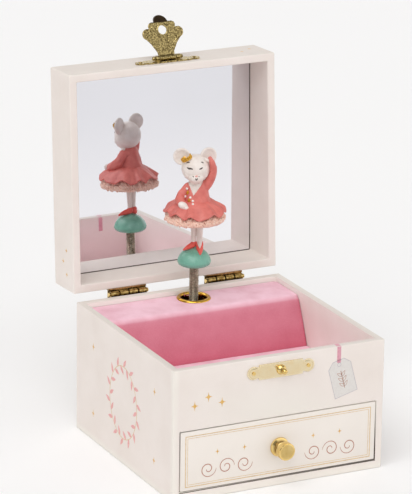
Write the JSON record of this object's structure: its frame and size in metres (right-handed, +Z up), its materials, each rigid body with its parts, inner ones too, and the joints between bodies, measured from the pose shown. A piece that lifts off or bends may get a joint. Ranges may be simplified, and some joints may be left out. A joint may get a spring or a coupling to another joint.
{
  "type": "wind up music box",
  "caption": "Paper covered box with a mirror lid, a tray, a drawer and a figure on a spring stem that a clockwork movement turns.",
  "frame": {"origin": "middle of the case's underside", "axes": "+Z up, front and drawer face -Y, +X to the right seen from the front; the lid stands open"},
  "size_m": [0.11, 0.1478, 0.1961],
  "materials": {
    "case_paper": "matt printed paper over board",
    "board_wood": "plain board",
    "velvet_pink": "short pile velvet",
    "mirror_glass": "silvered glass",
    "polished_brass": "polished",
    "antique_brass": "antiqued, stamped",
    "spring_steel": "drawn steel",
    "movement_metal": "zinc casting",
    "gear_brass": "satin",
    "green_base": "painted, satin",
    "figure_white": "painted",
    "coral_skirt": "painted",
    "lace": "painted, moulded as gathered lace"
  },
  "bodies": {
    "case": {"left_wall": "case_paper", "right_wall": "case_paper", "back_wall": "case_paper", "front_panel": "case_paper", "bottom_panel": "case_paper", "tray_shelf": "board_wood", "rear_partition": "board_wood", "deck_pad": "velvet_pink", "tray_pad": "velvet_pink", "grommet": "polished_brass", "foot_spring": "spring_steel", "strike_plate": "polished_brass", "strike_stud": "polished_brass", "strike_pins": "polished_brass", "hinge_case_leaves": "polished_brass", "hinge_pins": "polished_brass", "hinge_case_nails": "polished_brass", "bedplate": "movement_metal", "movement_screws": "spring_steel", "comb": "spring_steel", "comb_screws": "spring_steel", "barrel_bridge": "movement_metal", "governor_bracket": "movement_metal"},
    "lid": {"lid_left_rail": "case_paper", "lid_right_rail": "case_paper", "lid_front_rail": "case_paper", "lid_back_rail": "case_paper", "lid_panel": "case_paper", "mirror": "mirror_glass", "hinge_lid_leaves": "polished_brass", "hinge_lid_nails": "polished_brass", "hasp_plate": "antique_brass", "hasp_plate_pins": "antique_brass", "hasp_pin": "antique_brass"},
    "hasp_shell": {"hasp": "antique_brass"},
    "drawer": {"drawer_front": "case_paper", "drawer_left_side": "board_wood", "drawer_right_side": "board_wood", "drawer_back": "board_wood", "drawer_bottom": "board_wood", "drawer_liner": "velvet_pink", "knob": "polished_brass", "knob_screw": "spring_steel"},
    "stem": {"stem_spring": "spring_steel"},
    "figure": {"dome_base": "green_base", "mouse_dancer": "figure_white", "skirt": "coral_skirt", "underskirt": "lace"},
    "mainspring_barrel": {"barrel": "gear_brass", "mainspring": "spring_steel"},
    "key": {"winding_arbor": "spring_steel", "winding_key": "gear_brass"},
    "tune_drum": {"pinned_cylinder": "gear_brass"},
    "turning_spindle": {"spindle": "gear_brass"},
    "governor": {"governor_wheel": "gear_brass"},
    "fly": {"worm_fly": "gear_brass"},
    "stop": {"stop_wire": "spring_steel"}
  },
  "joints": [
    {"name": "lid_hinge", "type": "hinge", "parent": "case", "child": "lid", "pos_m": [0, 0.0566, 0.0647], "axis": [1, 0, 0], "range_deg": [0, 93.2]},
    {"name": "hasp_hinge", "type": "hinge", "parent": "lid", "child": "hasp_shell", "pos_m": [0, 0.06957, 0.17665], "axis": [1, 0, 0], "range_deg": [-60, 110.8]},
    {"name": "drawer_slide", "type": "slide", "parent": "case", "child": "drawer", "axis": [0, -1, 0], "range_m": [0, 0.055]},
    {"name": "stem_bend", "type": "hinge", "parent": "case", "child": "stem", "pos_m": [0.0021, 0.0396, 0.0636], "axis": [1, 0, 0], "range_deg": [0, 90]},
    {"name": "figure_spin", "type": "hinge", "parent": "stem", "child": "figure", "pos_m": [0.0021, 0.0419, 0.0795], "axis": [0, 0, 1], "continuous": true},
    {"name": "drum_spin", "type": "hinge", "parent": "case", "child": "tune_drum", "pos_m": [0.0118, 0.036, 0.03], "axis": [0, 0, 1], "continuous": true},
    {"name": "spindle_spin", "type": "hinge", "parent": "case", "child": "turning_spindle", "pos_m": [0.0021, 0.0419, 0.05], "axis": [0, 0, 1], "continuous": true},
    {"name": "barrel_spin", "type": "hinge", "parent": "case", "child": "mainspring_barrel", "pos_m": [0.0118, 0.044, 0.017], "axis": [0, 1, 0], "continuous": true},
    {"name": "key_wind", "type": "hinge", "parent": "case", "child": "key", "pos_m": [0.0118, 0.055, 0.017], "axis": [0, -1, 0], "range_deg": [0, 1440]},
    {"name": "governor_spin", "type": "hinge", "parent": "case", "child": "governor", "pos_m": [0.02031, 0.036, 0.052], "axis": [0, 0, 1], "continuous": true},
    {"name": "fly_spin", "type": "hinge", "parent": "case", "child": "fly", "pos_m": [0.02601, 0.04, 0.0548], "axis": [0, 1, 0], "continuous": true},
    {"name": "stop_slide", "type": "slide", "parent": "case", "child": "stop", "axis": [0, 0, -1], "range_m": [0, 0.0015]}
  ],
  "couplings": [
    {"joint": "stem_bend", "follows": "lid_hinge", "ratio": 0.96567},
    {"joint": "stop_slide", "follows": "lid_hinge", "m_per_rad": 0.00092205},
    {"joint": "figure_spin", "follows": "drum_spin", "ratio": -1},
    {"joint": "spindle_spin", "follows": "drum_spin", "ratio": -1},
    {"joint": "barrel_spin", "follows": "drum_spin", "ratio": -0.33333},
    {"joint": "governor_spin", "follows": "drum_spin", "ratio": -2},
    {"joint": "fly_spin", "follows": "drum_spin", "ratio": 24}
  ]
}
